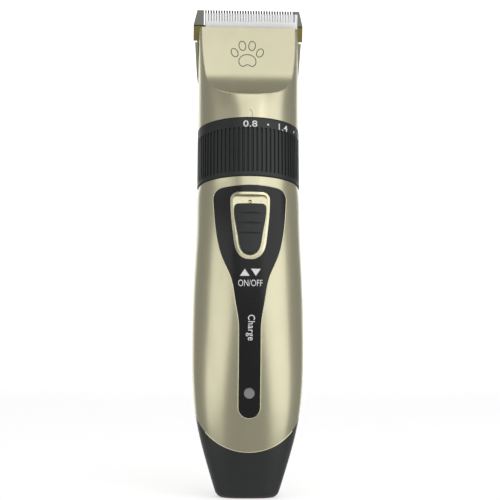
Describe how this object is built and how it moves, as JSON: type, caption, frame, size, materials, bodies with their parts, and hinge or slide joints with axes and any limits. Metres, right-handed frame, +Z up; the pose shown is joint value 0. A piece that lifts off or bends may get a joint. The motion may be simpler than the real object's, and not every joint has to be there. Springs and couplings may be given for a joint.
{
  "type": "electric pet clipper",
  "caption": "Cordless pet clipper: bent gold handle with black tail and switch panel, turning ribbed length ring, and a hinged blade head with a ceramic cutter.",
  "frame": {"origin": "centre of the flat foot at the lower end of the handle", "axes": "+Z up along the handle to the blade, -Y towards the side with the switch, +X to the right seen from that side"},
  "size_m": [0.0412, 0.045, 0.1795],
  "materials": {
    "gold_shell": "satin champagne-gold lacquer on plastic",
    "black_gloss": "high-gloss black",
    "black_satin": "moulded satin black",
    "dark_plastic": "moulded dark grey",
    "bright_gold": "bright gold plating",
    "lens": "frosted light pipe",
    "led": "diode package",
    "board": "solder mask green",
    "chip": "epoxy black",
    "steel": "machined steel",
    "bright_steel": "bright plated steel",
    "blade_coat": "titanium coated steel with ground teeth",
    "ceramic": "sintered white ceramic",
    "white_plastic": "moulded acetal",
    "bronze": "sintered bronze",
    "cell_wrap": "shrink wrap blue",
    "nickel": "nickel strip",
    "wire": "PVC insulated wire"
  },
  "bodies": {
    "root": {"battery_cell": "cell_wrap", "board_chip": "chip", "board_screws": "bright_steel", "cell_leads": "wire", "cell_tabs": "nickel", "charge_led": "led", "charge_lens": "lens", "circuit_board": "board", "control_panel": "black_gloss", "dc_socket": "black_satin", "front_shell": "gold_shell", "head_screws": "bright_steel", "head_shell": "gold_shell", "hinge_rod": "bright_steel", "inner_chassis": "dark_plastic", "motor_bearing": "bronze", "motor_can": "steel", "motor_end_cap": "dark_plastic", "motor_leads": "wire", "motor_mount": "dark_plastic", "motor_screws": "bright_steel", "neck_collar": "dark_plastic", "rear_shell": "gold_shell", "shell_screws": "bright_steel", "slide_switch": "steel", "socket_leads": "wire", "switch_bezel": "bright_gold", "tail_cap": "black_gloss"},
    "ring": {"adjust_ring": "black_satin"},
    "fork": {"push_fork": "white_plastic"},
    "rotor": {"motor_shaft": "bright_steel", "eccentric_cam": "white_plastic", "drive_pin": "bright_steel"},
    "switch": {"switch_knob": "black_satin", "switch_actuator": "white_plastic"},
    "blade_unit": {"blade_frame": "gold_shell", "fixed_blade": "blade_coat", "blade_screws": "bright_steel", "blade_spring": "steel"},
    "guide": {"cutter_guide": "dark_plastic"},
    "cutter": {"ceramic_cutter": "ceramic", "drive_yoke": "dark_plastic"}
  },
  "joints": [
    {"name": "ring_turn", "type": "hinge", "parent": "root", "child": "ring", "pos_m": [0, 0.00444, 0.11049], "axis": [0, -0.1392, -0.9903], "range_deg": [0, 80]},
    {"name": "fork_sink", "type": "slide", "parent": "root", "child": "fork", "axis": [0, -0.1392, -0.9903], "range_m": [0, 0.00151]},
    {"name": "blade_release", "type": "hinge", "parent": "root", "child": "blade_unit", "pos_m": [0, 0.02314, 0.14583], "axis": [-1, 0, 0], "range_deg": [0, 35]},
    {"name": "cutter_setback", "type": "slide", "parent": "blade_unit", "child": "guide", "axis": [0, 0.2079, -0.9781], "range_m": [0, 0.0016]},
    {"name": "motor_spin", "type": "hinge", "parent": "root", "child": "rotor", "pos_m": [0, 0.00444, 0.11049], "axis": [0, -0.1392, -0.9903], "range_deg": [0, 180.1]},
    {"name": "cutter_stroke", "type": "slide", "parent": "guide", "child": "cutter", "axis": [-1, 0, 0], "range_m": [0, 0.0024]},
    {"name": "switch_slide", "type": "slide", "parent": "root", "child": "switch", "axis": [0, 0.1097, 0.994], "range_m": [0, 0.003]}
  ],
  "couplings": [
    {"joint": "fork_sink", "follows": "ring_turn", "m_per_rad": 0.0010768},
    {"joint": "cutter_setback", "follows": "ring_turn", "m_per_rad": 0.0011459},
    {"joint": "motor_spin", "follows": "cutter_stroke", "rad_per_m": 1309}
  ]
}
